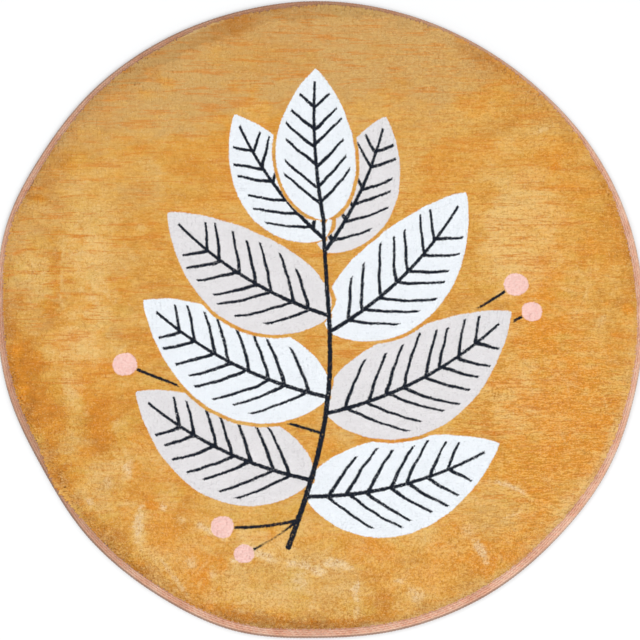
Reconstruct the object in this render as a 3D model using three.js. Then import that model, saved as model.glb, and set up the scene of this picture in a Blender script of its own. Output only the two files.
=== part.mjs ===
// Round plush rug lying flat on the floor: a disc of printed pile cloth and a
// narrow binding strip folded over its cut edge. Millimetres, +Z up, the floor
// at z = 0, the origin under the middle of the outline, +Y towards the edge
// that the nap of the pile leans to.

import * as THREE from 'three';
import { mergeVertices } from 'three/addons/utils/BufferGeometryUtils.js';

// ---- driving sizes (mm) ----
const DIAMETER = 800;        // nominal cut diameter over the binding
const TAPE = 1.0;            // thickness of the binding strip
const GAP = 0.3;             // clearance between cloth and binding
const MARGIN = 2.4;          // cloth thickness where the binding squeezes it
const LIP_TOP = 11.5;        // width of the binding seen from above
const LIP_UNDER = 9.5;       // width of the binding under the rug
const PILE_TOP = 8.4;        // height of the pile tips over the floor
const NAP_OVERHANG = 6.0;    // reach of the leaning pile over the lip, at +Y
const SWELL = 0.45;          // rise and fall of the pile surface
const SEGMENTS = 144;        // facets round the outline

const LIP_Z = 2 * TAPE + 2 * GAP + MARGIN;   // top of the binding
const CLOTH_LOW = TAPE + GAP;                // underside of the margin
const CLOTH_HIGH = CLOTH_LOW + MARGIN;       // upper side of the margin
const RADIUS = DIAMETER / 2;

// ---- outline: how far the edge stands outside (+) or inside (-) a true circle ----
const OUTLINE = [
  { deg: 0, out: 0.6 }, { deg: 15, out: 1.4 }, { deg: 30, out: 0.0 },
  { deg: 45, out: -3.3 }, { deg: 60, out: -3.7 }, { deg: 75, out: -2.1 },
  { deg: 90, out: 0.1 }, { deg: 105, out: 0.2 }, { deg: 120, out: 1.9 },
  { deg: 135, out: 3.3 }, { deg: 150, out: 3.0 }, { deg: 165, out: 7.0 },
  { deg: 180, out: 1.2 }, { deg: 195, out: -2.5 }, { deg: 210, out: -8.2 },
  { deg: 225, out: -3.2 }, { deg: 240, out: -0.2 }, { deg: 255, out: 4.0 },
  { deg: 270, out: -1.0 }, { deg: 285, out: 1.1 }, { deg: 300, out: 2.2 },
  { deg: 315, out: 0.9 }, { deg: 330, out: 2.4 }, { deg: 345, out: 0.2 },
];

function edgeOffset(angle) {
  const n = OUTLINE.length;
  const t = ((((angle / (2 * Math.PI)) % 1) + 1) % 1) * n;
  const i = Math.floor(t);
  const f = t - i;
  const at = (k) => OUTLINE[(i + k + n) % n].out;
  const [p, a, b, q] = [at(-1), at(0), at(1), at(2)];
  return a + 0.5 * f * (b - p + f * (2 * p - 5 * a + 4 * b - q + f * (3 * (a - b) + q - p)));
}

// ---- middle of the outline's box, so that the origin lies under it ----
function outlineMiddle() {
  const box = new THREE.Box2();
  for (let s = 0; s < SEGMENTS; s++) {
    const a = (2 * Math.PI * s) / SEGMENTS;
    const r = RADIUS + edgeOffset(a);
    box.expandByPoint(new THREE.Vector2(r * Math.cos(a), r * Math.sin(a)));
  }
  return box.getCenter(new THREE.Vector2());
}
const MIDDLE = outlineMiddle();

// ---- sections, from the floor outwards, up, and back in ----
// inset: distance inside the edge; z: height; lean: share of the nap's overhang
const CLOTH_RIM = [
  { inset: LIP_UNDER + GAP, z: 0, lean: 0 },                    // flat underside
  { inset: LIP_UNDER + GAP, z: CLOTH_LOW, lean: 0 },            // step over the under lip
  { inset: TAPE + GAP, z: CLOTH_LOW, lean: 0 },                 // cut edge, low
  { inset: TAPE + GAP, z: CLOTH_HIGH, lean: 0 },                // cut edge, high
  { inset: LIP_TOP + GAP, z: CLOTH_HIGH, lean: 0 },             // margin under the top lip
  { inset: LIP_TOP + GAP, z: LIP_Z + GAP, lean: 0 },            // pile rising beside the lip
  { inset: LIP_TOP + GAP - 0.4, z: LIP_Z + GAP + 0.1, lean: 1 },  // pile leaning over the lip
  { inset: LIP_TOP + 0.6, z: LIP_Z + 1.5, lean: 1 },            // shoulder, low
  { inset: LIP_TOP + 3.0, z: PILE_TOP - 0.9, lean: 0.9 },       // shoulder, middle
  { inset: LIP_TOP + 8.5, z: PILE_TOP - 0.2, lean: 0.5 },       // shoulder, high
  { inset: LIP_TOP + 22, z: PILE_TOP, lean: 0 },                // pile face
];
const FACE_RINGS = [0.82, 0.7, 0.58, 0.46, 0.34, 0.22, 0.1];    // shares of the radius

const BINDING = [
  { inset: LIP_UNDER, z: 0 },              // under lip, inner edge
  { inset: 1.3, z: 0 },                    // under lip, outer edge
  { inset: 0.25, z: 0.22 * LIP_Z },        // rim
  { inset: 0, z: 0.5 * LIP_Z },
  { inset: 0.25, z: 0.78 * LIP_Z },
  { inset: 1.3, z: LIP_Z },                // top lip, outer edge
  { inset: LIP_TOP - 0.4, z: LIP_Z },      // top lip, inner edge
  { inset: LIP_TOP, z: LIP_Z - 0.35 },
  { inset: LIP_TOP, z: LIP_Z - TAPE },     // inside of the fold
  { inset: TAPE, z: LIP_Z - TAPE },
  { inset: TAPE, z: TAPE },
  { inset: LIP_UNDER, z: TAPE },
];

// ---- the pile face rises and falls a little ----
function swell(x, y) {
  const u = x / RADIUS;
  const v = y / RADIUS;
  return SWELL * (
    0.55 * Math.sin(3.1 * u + 1.7 * v + 0.6)
    + 0.45 * Math.sin(2.3 * v - 4.2 * u + 2.1)
    + 0.35 * Math.sin(6.4 * u * v + 5.0 * v - 0.8));
}

// A turned section whose edge follows the outline. rows: profile with inset, z, lean.
function turned(rows, closed) {
  const points = rows.map((row) => new THREE.Vector2(Math.max(RADIUS - row.inset, 0), row.z));
  if (closed) points.push(points[0].clone());
  const geometry = new THREE.LatheGeometry(points, SEGMENTS);
  geometry.deleteAttribute('normal');
  geometry.deleteAttribute('uv');
  geometry.rotateX(Math.PI / 2);
  const position = geometry.getAttribute('position');
  for (let i = 0; i < position.count; i++) {
    const row = rows[(i % points.length) % rows.length];
    const step = Math.floor(i / points.length) % SEGMENTS;
    const angle = (2 * Math.PI * step) / SEGMENTS;
    const out = edgeOffset(angle);
    const nap = NAP_OVERHANG * 0.5 * (1 + Math.sin(angle)) * (row.lean || 0);
    const r = row.share === undefined
      ? RADIUS + out - row.inset + nap
      : row.share * (RADIUS + out);
    const x = r * Math.cos(angle);
    const y = r * Math.sin(angle);
    const z = row.z + (row.face || 0) * swell(x, y);
    position.setXYZ(i, x - MIDDLE.x, y - MIDDLE.y, z);
  }
  return mergeVertices(geometry, 1e-4);
}

const clothRows = [
  { inset: RADIUS, share: 0, z: 0 },
  ...CLOTH_RIM,
  ...FACE_RINGS.map((share, k) => ({ inset: RADIUS * (1 - share), share, z: PILE_TOP, face: k === 0 ? 0.6 : 1 })),
  { inset: RADIUS, share: 0, z: PILE_TOP, face: 1 },
];

// ---- the two sewn pieces ----
const rug = new THREE.Group();

const pileCloth = new THREE.Mesh(
  turned(clothRows, false),
  new THREE.MeshStandardMaterial({ color: 0xdea550, roughness: 0.95, metalness: 0 }),
);
pileCloth.name = 'pile_cloth';
rug.add(pileCloth);

const edgeBinding = new THREE.Mesh(
  turned(BINDING, true),
  new THREE.MeshStandardMaterial({ color: 0xe6ad95, roughness: 0.85, metalness: 0 }),
);
edgeBinding.name = 'edge_binding';
rug.add(edgeBinding);

export default rug;
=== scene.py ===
import math

import bpy
import numpy as np
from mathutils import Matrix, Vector


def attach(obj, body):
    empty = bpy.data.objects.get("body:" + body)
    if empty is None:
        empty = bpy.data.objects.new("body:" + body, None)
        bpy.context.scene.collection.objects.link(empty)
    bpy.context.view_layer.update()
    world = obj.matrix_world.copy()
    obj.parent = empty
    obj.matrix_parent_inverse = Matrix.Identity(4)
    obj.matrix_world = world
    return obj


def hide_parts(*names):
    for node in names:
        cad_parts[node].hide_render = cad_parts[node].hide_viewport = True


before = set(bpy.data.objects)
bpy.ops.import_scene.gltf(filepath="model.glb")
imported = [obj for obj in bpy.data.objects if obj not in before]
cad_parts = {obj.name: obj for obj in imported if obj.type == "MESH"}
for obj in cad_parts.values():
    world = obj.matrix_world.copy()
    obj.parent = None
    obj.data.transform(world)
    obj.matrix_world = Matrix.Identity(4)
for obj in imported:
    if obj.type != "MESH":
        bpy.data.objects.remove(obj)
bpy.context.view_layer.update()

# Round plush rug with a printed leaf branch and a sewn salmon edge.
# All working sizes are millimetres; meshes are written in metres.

MM = 0.001
TAU = 2 * math.pi

# ---------------------------------------------------------------- sizes (mm)
DIAMETER = 800.0
RADIUS = DIAMETER / 2
LIP_TOP = 11.5            # binding seen from above
LIP_UNDER = 9.5           # binding under the rug
MARGIN_TOP = 3.4          # cloth squeezed inside the binding
SHEET_TOP = 5.8           # ground cloth, where the locks are rooted
DENSE_TOP = 7.1           # top of the dense foot of the pile
PILE_LENGTH = 5.4         # one lock of pile, root to tip
PILE_PITCH = 1.21         # distance between locks
PILE_WIDTH = 2.3          # width of a lock below its tip
PILE_START = 11.9         # first locks, measured in from the edge
STRIPS = 6                # the pile is kept in bands across the rug

# how far the edge stands outside (+) or inside (-) a true circle, every 15 degrees
EDGE_OUT = [0.6, 1.4, 0.0, -3.3, -3.7, -2.1, 0.1, 0.2, 1.9, 3.3, 3.0, 7.0,
            1.2, -2.5, -8.2, -3.2, -0.2, 4.0, -1.0, 1.1, 2.2, 0.9, 2.4, 0.2]


def edge_offset(angle):
    out = np.asarray(EDGE_OUT)
    n = len(out)
    t = (np.asarray(angle, float) / TAU) % 1.0 * n
    i = np.floor(t).astype(int)
    f = t - i
    p, a, b, q = (out[(i + k) % n] for k in (-1, 0, 1, 2))
    return a + 0.5 * f * (b - p + f * (2 * p - 5 * a + 4 * b - q + f * (3 * (a - b) + q - p)))


_ring = np.arange(144) * TAU / 144
_r = RADIUS + edge_offset(_ring)
_px, _py = _r * np.cos(_ring), _r * np.sin(_ring)
MID_X, MID_Y = (_px.min() + _px.max()) / 2, (_py.min() + _py.max()) / 2


def edge_radius(angle):
    return RADIUS + edge_offset(angle)


def inset_of(x, y):
    """Distance inside the rug's edge, and the direction outwards."""
    u, v = x + MID_X, y + MID_Y
    angle = np.arctan2(v, u)
    return edge_radius(angle) - np.hypot(u, v), angle


# ---------------------------------------------------------------- noise
class Noise:
    """Smooth gradient noise from a fixed seed, about -1 to 1."""

    def __init__(self, seed):
        turn = np.random.default_rng(seed).uniform(0, TAU, (256, 256))
        self.gx, self.gy = np.cos(turn), np.sin(turn)

    def __call__(self, x, y):
        x, y = np.asarray(x, float), np.asarray(y, float)
        xi, yi = np.floor(x).astype(int), np.floor(y).astype(int)
        fx, fy = x - xi, y - yi
        sx, sy = fx * fx * fx * (fx * (fx * 6 - 15) + 10), fy * fy * fy * (fy * (fy * 6 - 15) + 10)

        def corner(dx, dy):
            a, b = (xi + dx) & 255, (yi + dy) & 255
            return self.gx[a, b] * (fx - dx) + self.gy[a, b] * (fy - dy)

        low = corner(0, 0) + sx * (corner(1, 0) - corner(0, 0))
        high = corner(0, 1) + sx * (corner(1, 1) - corner(0, 1))
        return 1.45 * (low + sy * (high - low))


NOISES = [Noise(s) for s in range(31, 51)]


def cloud(k, x, y, octaves=3):
    """Layers of noise, each half the size and half the strength of the last."""
    total, gain = 0.0, 1.0
    for o in range(octaves):
        total = total + gain * NOISES[(k + 3 * o) % len(NOISES)](x * 2 ** o + 17.3 * o, y * 2 ** o - 9.1 * o)
        gain *= 0.5
    return total / 1.5


def smooth(low, high, v):
    t = np.clip((v - low) / (high - low), 0, 1)
    return t * t * (3 - 2 * t)


CELLS = np.random.default_rng(83).uniform(-1, 1, (64, 64, 5))


def facets(k, x, y, wide, tall):
    """Ragged cells with fairly sharp borders; each has three numbers of its own, -1 to 1."""
    u = (x + 0.45 * wide * cloud(k, x / wide, y / wide, 3)) / wide
    v = (y + 0.45 * tall * cloud(k + 5, x / tall, y / tall, 3)) / tall
    iu, iv = np.floor(u).astype(int), np.floor(v).astype(int)
    first, second = np.full(np.shape(u), 9.0), np.full(np.shape(u), 9.0)
    own, other = np.zeros((3,) + np.shape(u)), np.zeros((3,) + np.shape(u))
    for du in (-1, 0, 1):
        for dv in (-1, 0, 1):
            cell = CELLS[(iu + du + 11 * k) & 63, (iv + dv + 23 * k) & 63]
            far = np.hypot(iu + du + 0.5 + 0.42 * cell[..., 0] - u, iv + dv + 0.5 + 0.42 * cell[..., 1] - v)
            values = np.moveaxis(cell[..., 2:5], -1, 0)
            nearer, between = far < first, (far >= first) & (far < second)
            other = np.where(nearer, own, np.where(between, values, other))
            own = np.where(nearer, values, own)
            second = np.where(nearer, first, np.where(between, far, second))
            first = np.where(nearer, far, first)
    share = 0.5 + 0.5 * smooth(0.0, 0.20, second - first)
    return own * share + other * (1 - share)


# ---------------------------------------------------------------- the print
# A leafy branch: leaves in pairs along a bowed stem, veins, and berries.
STEM = {"x0": -38.0, "y0": -292.0, "x1": 20.0, "y1": 112.0, "bow": 22.0, "half": 2.9}
# at: place along the stem; side: 1 right, -1 left, 0 the end leaf; turn: degrees off the stem
LEAVES = [
    {"at": 0.15, "side": 1, "turn": 57, "long": 244, "half": 59, "bend": -17, "grey": 0},
    {"at": 0.20, "side": -1, "turn": 80, "long": 240, "half": 58, "bend": 16, "grey": 1},
    {"at": 0.40, "side": 1, "turn": 53, "long": 262, "half": 63, "bend": -19, "grey": 1},
    {"at": 0.45, "side": -1, "turn": 68, "long": 258, "half": 62, "bend": 18, "grey": 0},
    {"at": 0.65, "side": 1, "turn": 46, "long": 246, "half": 59, "bend": -17, "grey": 0},
    {"at": 0.70, "side": -1, "turn": 54, "long": 240, "half": 58, "bend": 16, "grey": 1},
    {"at": 0.90, "side": 1, "turn": 27, "long": 190, "half": 47, "bend": -10, "grey": 1},
    {"at": 0.94, "side": -1, "turn": 33, "long": 196, "half": 48, "bend": 11, "grey": 0},
    {"at": 1.00, "side": 0, "turn": -2, "long": 196, "half": 50, "bend": 6, "grey": 0},
]
VEIN = {"first": 0.10, "pitch": 25.0, "slope": 0.80, "curl": 0.0042, "half": 2.15, "reach": 0.80}
# berries on stalks that come out from under the leaves
BERRIES = [
    {"at": 0.46, "x": 243, "y": 30, "r": 15}, {"at": 0.42, "x": 262, "y": -4, "r": 13},
    {"at": 0.34, "x": -240, "y": -70, "r": 15}, {"at": 0.08, "x": -118, "y": -268, "r": 14},
    {"at": 0.08, "x": -92, "y": -300, "r": 12},
]


def stem_point(t):
    bow = STEM["bow"] * np.sin(math.pi * t * 1.25)
    return (STEM["x0"] + (STEM["x1"] - STEM["x0"]) * t + bow,
            STEM["y0"] + (STEM["y1"] - STEM["y0"]) * t)


def stem_heading(t):
    (ax, ay), (bx, by) = stem_point(t - 0.01), stem_point(t + 0.01)
    return math.atan2(by - ay, bx - ax)


def leaf_half(s, half):
    s = np.clip(s, 1e-4, 1 - 1e-4)
    return half * 2.674 * s ** 0.6 * (1 - s) ** 0.85


def leaf_distances(x, y, k, leaf):
    """Signed distances to a leaf's outline and to its veins."""
    bx, by = stem_point(leaf["at"])
    way = stem_heading(min(leaf["at"], 0.985)) - math.radians(leaf["turn"]) * (leaf["side"] or 1)
    ux, uy = math.cos(way), math.sin(way)
    along, across = (x - bx) * ux + (y - by) * uy, (x - bx) * -uy + (y - by) * ux
    s = along / leaf["long"]
    sc = np.clip(s, 0, 1)
    across = across - leaf["bend"] * 4 * sc * (1 - sc)
    w = leaf_half(sc, leaf["half"])
    slope = (leaf_half(sc + 0.01, leaf["half"]) - leaf_half(sc - 0.01, leaf["half"])) / (0.02 * leaf["long"])
    inside = (np.abs(across) - w) / np.sqrt(1 + np.minimum(slope * slope, 4.0))
    past = np.maximum(np.maximum(-along, along - leaf["long"]), 0)
    outline = np.where(past > 0, np.hypot(past, np.abs(across)), inside)
    # middle vein, thinner towards the tip
    rib = np.abs(across) - VEIN["half"] * (1.25 - 0.5 * sc)
    rib = np.maximum(rib, np.maximum(along - 0.92 * leaf["long"], -along - 2))
    # side veins: one family of bowed lines on each side
    h = np.abs(across)
    start = along - VEIN["slope"] * h - VEIN["curl"] * h * h + 1.5 * NOISES[3](x / 17 + 9 * k, y / 17)
    first = VEIN["first"] * leaf["long"]
    count = int((0.80 * leaf["long"] - first) / VEIN["pitch"]) + 1
    i = np.clip(np.round((start - first) / VEIN["pitch"]), 0, count - 1)
    shift = 3.2 * np.sin(i * 2.4 + k * 1.7 + 1.3 * (across > 0))
    grade = np.sqrt(1 + (VEIN["slope"] + 2 * VEIN["curl"] * h) ** 2)
    side = np.abs(start - first - i * VEIN["pitch"] - shift) / grade
    share = h / np.maximum(w, 1e-3)
    side = side - VEIN["half"] * (1.05 - 0.45 * share)
    end = (share - VEIN["reach"] - 0.06 * np.sin(i * 1.9 + k)) * w
    side = np.maximum(side, end)
    veins = np.maximum(np.minimum(rib, side), outline + 2.0)
    return outline, veins


def print_distances(x, y):
    """Signed distances, in mm, to what is printed white, pale grey, coral and dark."""
    far = np.full(np.shape(x), 60.0)
    white, grey, coral, dark = far.copy(), far.copy(), far.copy(), far.copy()
    for berry in BERRIES:
        bx, by = stem_point(berry["at"])
        lx, ly = berry["x"] - bx, berry["y"] - by
        f = np.clip(((x - bx) * lx + (y - by) * ly) / (lx * lx + ly * ly), 0, 1)
        sag = 14 * f * (1 - f)
        stalk = np.hypot(x - bx - f * lx, y - by - f * ly + sag) - 1.9
        dark = np.minimum(dark, stalk)
    for berry in BERRIES:
        ball = np.hypot(x - berry["x"], (y - berry["y"]) * 1.06) - berry["r"] + 0.9 * NOISES[9](x / 11, y / 11)
        dark = np.maximum(dark, 1.0 - ball)
        coral = np.minimum(coral, ball)
    for k, leaf in enumerate(LEAVES):
        outline, veins = leaf_distances(x, y, k, leaf)
        outline = outline + 0.8 * NOISES[5](x / 23, y / 23)
        clear = 4.5 - outline            # ground left showing round the upper leaf
        white, grey, coral, dark = (np.maximum(d, clear) for d in (white, grey, coral, dark))
        if leaf["grey"]:
            grey = np.minimum(grey, outline)
        else:
            white = np.minimum(white, outline)
        dark = np.minimum(dark, veins)
    t = np.clip((y - STEM["y0"]) / (STEM["y1"] - STEM["y0"]), 0, 1)
    sx, sy = stem_point(t)
    stem = np.hypot(x - sx, y - sy) - STEM["half"] * (1.25 - 0.4 * t) + 0.35 * NOISES[7](x / 9, y / 9)
    dark = np.minimum(dark, stem)
    return white, grey, coral, dark


# ---------------------------------------------------------------- lie of the pile
# Marks left in the pile by folding and brushing.
# kind: 1 parted and pale, the paleness painted sheen of fibres brushed another way, -1 pressed and deep; x, y: middle;
# long, wide; turn: degrees; bow: sideways curve
MARKS = [
    (1, 230, -211, 56, 5, -17, 6, 0.62), (1, 197, -286, 34, 8, -58, 2, 0.75),
    (1, 183, -262, 24, 14, -20, 0, 0.40), (1, 238, -243, 24, 5, 22, 0, 0.45),
    (1, 18, -308, 44, 8, -4, 6, 0.80), (1, 47, -336, 26, 7, 80, 3, 0.85),
    (1, 100, -323, 20, 6, 18, 0, 0.55), (1, 119, -342, 24, 12, -50, 0, 0.55),
    (1, -74, -291, 46, 9, -20, 0, 0.95), (1, -34, -303, 18, 7, -12, 0, 0.75),
    (1, -18, -305, 12, 8, -20, 0, 0.80), (1, -25, -330, 26, 16, -8, 6, 0.50),
    (1, -103, -297, 18, 8, 30, 0, 0.60), (1, -222, -256, 46, 8, 88, 3, 0.75),
    (1, -193, -232, 12, 6, -25, 0, 0.60), (1, -238, -186, 26, 9, 85, 0, 0.55),
    (1, -263, -203, 16, 9, 60, 0, 0.45), (1, -286, -226, 14, 7, -35, 0, 0.55),
    (1, -172, -248, 12, 6, -10, 0, 0.45), (1, -136, -262, 44, 6, -29, 0, 0.65),
    (1, -160, -302, 16, 10, 60, 0, 0.50), (1, -182, -318, 70, 5, -54, 0, 0.50), (1, -132, -317, 12, 9, 10, 0, 0.45),
    (1, -2, -312, 22, 9, -8, 0, 0.65), (1, 46, -360, 22, 6, 86, 0, 0.50), (1, 64, -379, 28, 4, 5, 0, 0.50),
    (1, -318, 80, 22, 3, 80, 0, 0.28), (1, -307, 80, 18, 3, -50, 0, 0.26), (1, -320, 50, 18, 3, 88, 0, 0.34),
    (1, -283, 26, 14, 4, 0, 0, 0.42), (1, -296, 36, 11, 3, 75, 0, 0.26),
    (1, -310, 2, 26, 7, -8, 0, 0.25), (1, -306, -92, 16, 7, -10, 0, 0.28),
    (1, 348, -4, 22, 8, 55, 0, 0.32), (1, 362, -52, 16, 5, -12, 0, 0.28),
    (1, 280, -52, 10, 7, 60, 0, 0.28), (1, -234, 80, 26, 6, -50, 0, 0.25),
    (1, -222, 114, 14, 5, 0, 0, 0.20), (1, 276, 234, 26, 4, 24, 0, 0.38),
    (1, -151, 356, 74, 2.4, 24, 2, 0.36), (1, -342, 136, 30, 8, -8, 0, 0.25),
    (-1, -144, -316, 26, 15, 78, 0, 0.85), (-1, -121, -304, 20, 11, 76, 0, 0.65),
    (-1, -134, -356, 18, 9, -20, 0, 0.75), (-1, -88, -370, 26, 7, -8, 0, 0.65),
    (-1, -212, -231, 34, 7, 2, 0, 0.55), (-1, -300, -193, 20, 6, 10, 0, 0.50),
    (-1, -228, -304, 30, 10, -38, 0, 0.55), (-1, 238, -291, 26, 11, -30, 0, 0.70),
    (-1, 208, -316, 14, 10, -50, 0, 0.65), (-1, 276, -268, 12, 8, -30, 0, 0.45),
    (-1, -375, -42, 20, 10, -8, 0, 0.85), (-1, -368, -86, 16, 26, 0, 0, 0.60),
    (-1, -336, 17, 24, 9, -22, 0, 0.60), (-1, 382, 12, 14, 12, 40, 0, 0.60),
    (-1, 366, -18, 12, 10, 60, 0, 0.45), (-1, 79, -368, 44, 9, 6, 0, 0.60),
    (-1, -352, 150, 30, 6, -6, 0, 0.50), (-1, -326, 38, 20, 7, 80, 0, 0.60),
    (-1, 30, -376, 44, 8, -2, 0, 0.35), (-1, -46, -376, 22, 9, 8, 0, 0.55), (-1, -6, -378, 18, 8, -4, 0, 0.6), (-1, -60, -268, 16, 7, 60, 0, 0.35),
    (-1, 330, 96, 20, 6, 10, 0, 0.35), (-1, 290, 188, 14, 8, 30, 0, 0.45),
]

# places with many short brush strokes: x, y, rx, ry, how many
STROKE_PLACES = [(-312, 30, 62, 90, 70), (-262, -190, 90, 80, 60), (-60, -330, 190, 52, 110), (230, -250, 90, 80, 60),
                 (310, -60, 60, 130, 60)]


def strokes():
    rng = np.random.default_rng(29)
    made = []
    for x, y, rx, ry, count in STROKE_PLACES:
        for _ in range(count):
            far, way = math.sqrt(rng.uniform()), rng.uniform(0, TAU)
            kind, turn = (1, rng.normal(0, 55)) if rng.uniform() < 0.5 else (-1, rng.normal(0, 30))
            made.append((kind, x + rx * far * math.cos(way), y + ry * far * math.sin(way), rng.uniform(8, 26),
                         rng.uniform(2.4, 5.0), turn, 0, rng.uniform(0.10, 0.34)))
    return made


MARKS = MARKS + strokes()

# Broad patches where the pile is brushed another way.
# x, y: middle; rx, ry: half sizes; turn: degrees; light: paler (+) or darker (-); hot: more orange (+) or greyer (-)
PATCHES = [
    (6, 340, 250, 84, 0, -0.30, -0.92), (0, 372, 190, 26, 0, -0.20, -0.40), (-210, 326, 112, 30, 36, -0.80, -0.35), (-160, 288, 76, 66, 20, -0.10, -0.40),
    (-272, 214, 60, 50, 40, -0.15, 0.10), (-287, 132, 38, 50, 0, 0.30, 0.0), (-356, 70, 36, 76, 0, 0.25, -0.45),
    (-328, 70, 10, 20, 4, -0.55, 0.25), (-290, 26, 32, 76, 0, 0.30, 0.0), (-310, -32, 50, 20, 0, 0.35, 0.0),
    (-365, -62, 28, 28, 0, -0.65, 0.50), (-340, -118, 32, 38, 10, -0.65, 0.40), (-278, -70, 26, 50, 0, -0.20, 0.50),
    (-304, -82, 13, 32, 0, 0.50, 0.0), (-272, -138, 20, 32, 0, -0.70, 0.30), (-310, -157, 16, 16, 0, 0.50, -0.30),
    (-266, -195, 26, 26, 0, 0.50, -0.40), (-322, -200, 52, 18, -62, -0.45, 0.0), (-285, -226, 32, 24, 0, 0.45, -0.30),
    (-235, -170, 16, 28, 0, 0.30, 0.30), (-223, -258, 11, 32, 0, 0.70, -0.20), (-192, -258, 23, 32, 0, 0.0, 0.50),
    (-145, -318, 8, 13, 0, -0.40, 0.80), (-186, -320, 20, 28, 0, 0.20, -0.10), (-258, -274, 46, 22, -44, -1.15, 0.1),
    (-124, -264, 50, 16, -25, 0.30, 0.20), (-26, -320, 80, 44, 0, 0.50, -0.60), (-12, -374, 88, 13, 0, -0.45, 0.0),
    (74, -302, 26, 32, 0, -0.20, 0.30), (124, -326, 32, 32, 0, 0.20, 0.0), (148, -282, 26, 20, 20, 0.0, 0.50),
    (80, -352, 20, 15, 0, -0.60, 0.10), (228, -244, 35, 38, 0, 0.25, -0.55), (242, -296, 20, 13, 30, -0.60, 0.50),
    (298, -138, 60, 74, 0, 0.0, 0.50), (262, -196, 54, 44, 0, -0.10, 0.40), (342, -138, 16, 32, -20, -0.50, 0.40), (278, -62, 26, 20, 0, 0.40, 0.0),
    (266, -26, 26, 26, 0, 0.0, 0.50), (250, 140, 38, 96, 4, 0.45, -0.30), (298, 164, 62, 38, 0, 0.15, 0.0),
    (348, 112, 18, 64, 25, -0.15, 0.10), (335, 12, 32, 50, 0, 0.10, -0.30), (360, -82, 20, 20, 0, 0.10, -0.20),
    (372, 12, 10, 26, 0, -0.40, 0.10), (198, 320, 40, 15, -36, -0.50, 0.0), (120, 330, 40, 20, -10, 0.10, -0.30),
    (250, 262, 28, 14, -30, -0.20, 0.10), (272, 200, 40, 14, 0, -0.25, 0.20),
    (300, 60, 64, 130, 0, 0.0, 0.35), (330, -40, 44, 60, 0, 0.0, 0.30),
    (262, -262, 62, 24, 43, 0.20, 0.35), (337, -183, 54, 22, 62, 0.35, 0.20), (186, -334, 56, 18, 29, 0.20, 0.15),
    (-192, 334, 124, 20, 30, -0.80, -0.10), (-326, 196, 66, 20, 58, -0.35, 0.0), (0, 384, 130, 12, 0, -0.70, -0.10),
    (200, 332, 120, 14, -31, -0.40, 0.0),
    (0, 372, 170, 24, 0, -0.30, 0.0), (-250, 268, 70, 46, 40, 0.0, -0.60), (-180, 262, 80, 40, 10, 0.05, -0.35),
    (-300, 216, 50, 46, 40, -0.15, -0.35), (-334, 150, 34, 60, 0, -0.20, -0.15), (-222, 172, 30, 40, 0, 0.10, -0.50),
    (-272, 70, 28, 34, 0, 0.30, -0.10), (-272, -40, 26, 50, 0, 0.25, -0.25), (240, 90, 44, 60, 0, 1.05, -0.20),
    (252, -108, 40, 44, 0, 0.65, 0.05), (250, -176, 60, 34, 0, 0.0, 0.20), (226, -280, 50, 44, 0, -0.40, 0.50),
    (-176, -276, 70, 26, -15, 0.0, 0.40), (-74, -276, 34, 22, 0, 0.75, 0.0), (120, -275, 34, 22, 0, 0.45, 0.0), (-120, 362, 50, 18, 17, -1.30, 0.6), (20, -282, 80, 24, 0, 0.05, 0.35),
    (-140, -330, 64, 30, 0, 0.0, 0.40), (148, -322, 48, 30, 20, 0.0, 0.45), (-118, -366, 40, 14, -10, 0.0, 0.30),
    (262, 70, 44, 104, 0, 0.40, 0.45), (270, -110, 46, 70, 0, 0.40, 0.25), (318, -74, 34, 24, 0, 0.0, 0.35),
    (-255, 180, 90, 56, 40, 0.12, -0.22), (0, 318, 66, 28, 0, 0.05, -0.35), (126, 268, 36, 30, 0, 0.10, -0.35),
    (-90, -372, 70, 13, -8, -0.45, 0.10), (-384, -156, 20, 34, 20, 0.30, 0.0), (-322, -175, 24, 24, 0, -0.40, -0.10), (200, -322, 50, 22, 27, -0.50, -0.10),
    (298, -108, 56, 62, 0, 0.04, 0.24), (-360, 0, 34, 44, 0, -0.25, 0.0), (-350, 150, 34, 50, 0, -0.30, 0.0),
    (222, 318, 30, 22, -36, 0.0, 0.55), (-124, 345, 40, 40, 0, 0.0, 0.25), (-272, 270, 30, 30, 0, 0.30, -0.15),
    (322, -224, 24, 24, 0, 0.10, -0.25), (-322, -224, 24, 24, 0, 0.15, -0.30),
]


VIEW_TILT = math.radians(9.0)
VIEW_FAR = 1.877
VIEW_DROP = 0.0132       # the camera looks at a point this far below the middle


def plan(x, y):
    """The listed marks and patches are laid out as the camera sees the rug: a point's place on that plan."""
    u, v = x, y + VIEW_FAR / MM * math.sin(VIEW_TILT) + VIEW_DROP / MM * math.cos(VIEW_TILT)
    w = VIEW_FAR / MM * math.cos(VIEW_TILT) - VIEW_DROP / MM * math.sin(VIEW_TILT) - 8.0
    depth = v * math.sin(VIEW_TILT) + w * math.cos(VIEW_TILT)
    rise = v * math.cos(VIEW_TILT) - w * math.sin(VIEW_TILT)
    return 1870.7 * u / depth, 1870.7 * rise / depth - 1.2


def patches(x, y):
    x, y = plan(x, y)
    light, hot = np.zeros(np.shape(x)), np.zeros(np.shape(x))
    ragged = 0.45 * cloud(5, x / 24, y / 15, 3)
    for px, py, rx, ry, turn, dl, dh in PATCHES:
        reach = 1.7 * max(rx, ry)
        near = np.flatnonzero((np.abs(x - px) < reach) & (np.abs(y - py) < reach))
        if not len(near):
            continue
        a = math.radians(turn)
        dx, dy = x[near] - px, y[near] - py
        far = np.hypot((dx * math.cos(a) + dy * math.sin(a)) / rx, (-dx * math.sin(a) + dy * math.cos(a)) / ry)
        amount = smooth(1.40, 0.45, far + ragged[near])
        light[near] += dl * amount
        hot[near] += dh * amount
    return light, hot


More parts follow.
